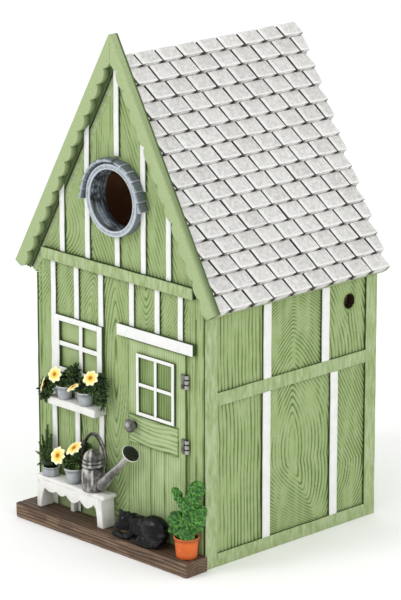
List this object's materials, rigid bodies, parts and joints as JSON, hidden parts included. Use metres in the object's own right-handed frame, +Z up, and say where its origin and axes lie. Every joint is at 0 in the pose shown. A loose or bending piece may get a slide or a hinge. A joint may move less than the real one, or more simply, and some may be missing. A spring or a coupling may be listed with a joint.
{
  "type": "birdhouse",
  "caption": "Cottage-shaped nest box with a tiled gable roof, round front entrance, half-timbered walls and a hinged clean-out door at the back.",
  "frame": {"origin": "middle of the body's footprint, on the flat base", "axes": "+Z up, -Y towards the front with the entrance, +X to the right of someone facing the front"},
  "size_m": [0.1494, 0.1469, 0.2698],
  "materials": {
    "green_wall": "green painted resin with carved wood grain and a darker wash in the grooves",
    "green_trim": "green painted resin timbers with rubbed lighter edges",
    "white_trim": "off-white painted resin",
    "bench_white": "off-white painted resin bench with grey shading",
    "roof_tile": "white and grey weathered painted resin tile",
    "pewter": "grey-blue pewter effect paint on resin",
    "old_pewter": "dark aged pewter effect paint on resin",
    "pot_grey": "grey painted resin",
    "brown_wood": "dark brown painted resin with carved wood grain",
    "leaf_dark": "dark green painted resin leaves",
    "leaf_bright": "bright green painted resin leaves",
    "petal": "pale yellow painted resin petals with golden centres",
    "cat_black": "gloss black painted resin",
    "pot_orange": "terracotta orange painted resin",
    "steel": "zinc plated steel"
  },
  "bodies": {
    "house": {"back_wall": "green_wall", "bench_apron": "bench_white", "bench_ends": "bench_white", "bench_flowers": "petal", "bench_plant": "leaf_dark", "bench_pot": "pot_grey", "bench_seat": "bench_white", "button_screw": "steel", "can_body": "old_pewter", "can_handle": "old_pewter", "can_spout": "old_pewter", "corner_posts": "green_trim", "door_glazing_bars": "white_trim", "door_knob": "old_pewter", "door_lintel": "white_trim", "door_mid_rail": "green_wall", "door_sash": "white_trim", "door_straps": "old_pewter", "entrance_collar": "pewter", "entrance_hood": "pewter", "fern": "leaf_dark", "fern_pot": "pot_grey", "floor_plate": "green_wall", "flower_shelf": "bench_white", "front_battens": "white_trim", "front_door": "green_wall", "front_step": "brown_wood", "front_wall": "green_wall", "gable_battens": "white_trim", "gable_beam": "green_trim", "hanger_plate": "steel", "hanger_screws": "steel", "hinge_pin": "steel", "hinge_wall_barrels": "steel", "left_bargeboard": "green_trim", "left_roof_slab": "green_trim", "left_roof_tiles": "roof_tile", "left_wall": "green_wall", "right_bargeboard": "green_trim", "right_roof_slab": "green_trim", "right_roof_tiles": "roof_tile", "right_wall": "green_wall", "shelf_flowers": "petal", "shelf_plants": "leaf_dark", "shelf_pots": "pot_grey", "side_battens": "white_trim", "side_bottom_rails": "green_trim", "side_mid_rails": "green_trim", "sleeping_cat": "cat_black", "topiary_plant": "leaf_bright", "topiary_pot": "pot_orange", "window_bars": "white_trim", "window_frame": "white_trim", "window_panes": "green_wall"},
    "hatch": {"hatch_door": "green_wall", "hinge_door_leaf": "steel"},
    "button": {"turn_button": "brown_wood"}
  },
  "joints": [
    {"name": "hatch_hinge", "type": "hinge", "parent": "house", "child": "hatch", "pos_m": [0, 0.0655, 0.0924], "axis": [1, 0, 0], "range_deg": [0, 95]},
    {"name": "button_turn", "type": "hinge", "parent": "house", "child": "button", "pos_m": [0, 0.0628, 0.0175], "axis": [0, 1, 0], "range_deg": [0, 90]}
  ]
}
